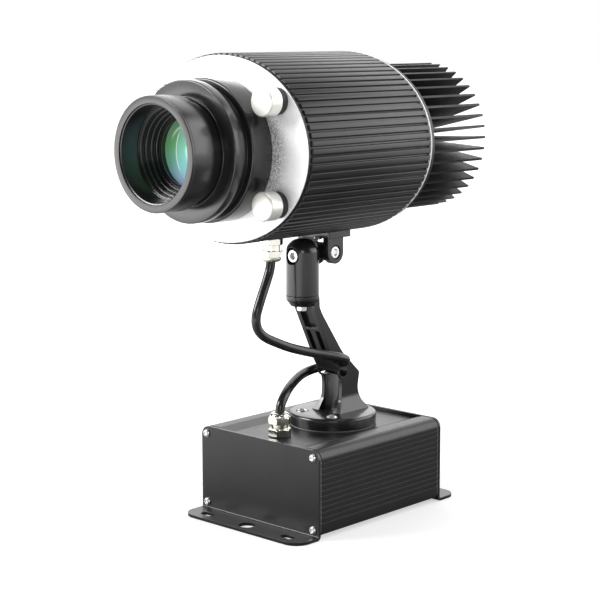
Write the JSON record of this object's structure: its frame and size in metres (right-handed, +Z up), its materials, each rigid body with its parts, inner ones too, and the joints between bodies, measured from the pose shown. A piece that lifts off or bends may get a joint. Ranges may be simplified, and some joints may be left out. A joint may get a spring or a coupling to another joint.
{
  "type": "gobo projector",
  "caption": "Small gobo projector: an oval ribbed lamp head with a focusing lens and a bladed heat sink, on a swivel bracket over a finned driver box with feet.",
  "frame": {"origin": "on the underside of the feet, midway between their slotted holes, under the middle of the driver box", "axes": "+Z up; -Y the way the lens looks when the bracket is straight; +X to the right of someone who looks along +Y from the lens side"},
  "size_m": [0.155, 0.269, 0.316],
  "materials": {
    "black_extrusion": "satin black anodised aluminium extrusion with fine lengthwise ribs",
    "black_sheet": "smooth black powder coat on bent sheet",
    "black_plate": "black anodised rear plate",
    "black_casting": "semi-gloss black paint on cast aluminium",
    "black_barrel": "satin black anodised turned aluminium",
    "black_sink": "black anodised aluminium blades",
    "silver_plate": "fine sand-blasted natural anodised face plate",
    "knob_silver": "bright turned metal",
    "screw_steel": "bright zinc-plated steel",
    "nickel": "nickel-plated brass",
    "black_rubber": "black rubber",
    "white_gasket": "white silicone gasket",
    "grey_gasket": "grey sealing strip",
    "cable_jacket": "black cable jacket, slightly glossy",
    "coated_glass": "coated optical glass with a green and blue sheen",
    "clear_glass": "clear optical glass",
    "gobo_glass": "dark coated pattern glass",
    "circuit_board": "green circuit board lacquer",
    "lamp_board": "white-faced aluminium lamp board",
    "ferrite": "dark ferrite and black bobbin",
    "capacitor_sleeve": "dark blue shrink sleeve",
    "terminal_plastic": "green terminal block plastic",
    "motor_steel": "drawn steel motor can",
    "gear_plastic": "natural white engineering plastic",
    "inner_aluminium": "plain machined aluminium"
  },
  "bodies": {
    "root": {"driver_housing": "black_extrusion", "front_end_plate": "black_sheet", "rear_end_plate": "black_sheet", "end_gaskets": "grey_gasket", "end_plate_screws": "screw_steel", "driver_board": "circuit_board", "transformer": "ferrite", "capacitors": "capacitor_sleeve", "terminal_blocks": "terminal_plastic", "power_transistor": "inner_aluminium", "driver_gland": "nickel", "mains_gland": "nickel", "driver_gland_seals": "black_rubber", "bracket_gasket": "grey_gasket", "bracket_arm": "black_casting", "bracket_screws": "screw_steel", "bracket_nuts": "screw_steel", "pan_bolt": "screw_steel", "link_cable_upper": "cable_jacket", "link_cable_lower": "cable_jacket"},
    "post": {"swivel_post": "black_casting", "lean_screw": "screw_steel"},
    "knuckle": {"knuckle": "black_casting"},
    "head": {"head_mount": "black_casting", "head_mount_screws": "screw_steel", "tilt_bolt": "screw_steel", "head_tube": "black_extrusion", "front_plate": "silver_plate", "knob_collars": "black_rubber", "lens_mount": "black_barrel", "barrel_screws": "screw_steel", "head_gland": "nickel", "head_gland_seal": "black_rubber", "optics_frame": "inner_aluminium", "frame_standoffs": "inner_aluminium", "gobo_motor": "motor_steel", "condenser_holder": "black_barrel", "condenser_lenses": "clear_glass", "condenser_spacers": "inner_aluminium", "lamp_board": "lamp_board", "rear_gasket": "white_gasket", "rear_plate": "black_plate", "rear_screws": "screw_steel", "heat_sink": "black_sink"},
    "thumb_knob_1": {"thumb_knob_1": "knob_silver"},
    "thumb_knob_2": {"thumb_knob_2": "knob_silver"},
    "thumb_knob_3": {"thumb_knob_3": "knob_silver"},
    "thumb_knob_4": {"thumb_knob_4": "knob_silver"},
    "focus_ring": {"focus_ring": "black_barrel"},
    "lens_barrel": {"lens_barrel": "black_barrel", "front_lens": "coated_glass", "rear_lens": "clear_glass", "lens_rings": "black_barrel"},
    "gobo_wheel": {"gobo_wheel": "gear_plastic", "gobo_disc": "gobo_glass", "gobo_clips": "screw_steel"},
    "drive_pinion": {"drive_pinion": "gear_plastic"}
  },
  "joints": [
    {"name": "pan", "type": "hinge", "parent": "root", "child": "post", "pos_m": [0, -0.0198, 0.152], "axis": [0, 0, 1], "range_deg": [-60, 60], "deforming": ["link_cable_upper"]},
    {"name": "lean", "type": "hinge", "parent": "post", "child": "knuckle", "pos_m": [0, -0.0198, 0.1796], "axis": [0, 1, 0], "range_deg": [-30, 30], "deforming": ["link_cable_upper"]},
    {"name": "tilt", "type": "hinge", "parent": "knuckle", "child": "head", "pos_m": [0, -0.0015, 0.1806], "axis": [1, 0, 0], "range_deg": [-55, 6], "deforming": ["link_cable_upper"]},
    {"name": "focus", "type": "hinge", "parent": "head", "child": "focus_ring", "pos_m": [0, -0.123, 0.255], "axis": [0, -1, 0], "range_deg": [-120, 120]},
    {"name": "focus_slide", "type": "slide", "parent": "head", "child": "lens_barrel", "axis": [0, -1, 0], "range_m": [-0.006, 0.006]},
    {"name": "gobo_turn", "type": "hinge", "parent": "head", "child": "gobo_wheel", "pos_m": [0, -0.074, 0.255], "axis": [0, 1, 0], "continuous": true},
    {"name": "pinion_turn", "type": "hinge", "parent": "head", "child": "drive_pinion", "pos_m": [0.03612, -0.074, 0.255], "axis": [0, 1, 0], "continuous": true},
    {"name": "knob_1_turn", "type": "hinge", "parent": "head", "child": "thumb_knob_1", "pos_m": [-0.051, -0.105, 0.223], "axis": [0, -1, 0], "continuous": true},
    {"name": "knob_2_turn", "type": "hinge", "parent": "head", "child": "thumb_knob_2", "pos_m": [-0.051, -0.105, 0.287], "axis": [0, -1, 0], "continuous": true},
    {"name": "knob_3_turn", "type": "hinge", "parent": "head", "child": "thumb_knob_3", "pos_m": [0.051, -0.105, 0.223], "axis": [0, -1, 0], "continuous": true},
    {"name": "knob_4_turn", "type": "hinge", "parent": "head", "child": "thumb_knob_4", "pos_m": [0.051, -0.105, 0.287], "axis": [0, -1, 0], "continuous": true}
  ],
  "couplings": [
    {"joint": "focus", "follows": "focus_slide", "rad_per_m": 349},
    {"joint": "pinion_turn", "follows": "gobo_turn", "ratio": -4}
  ]
}
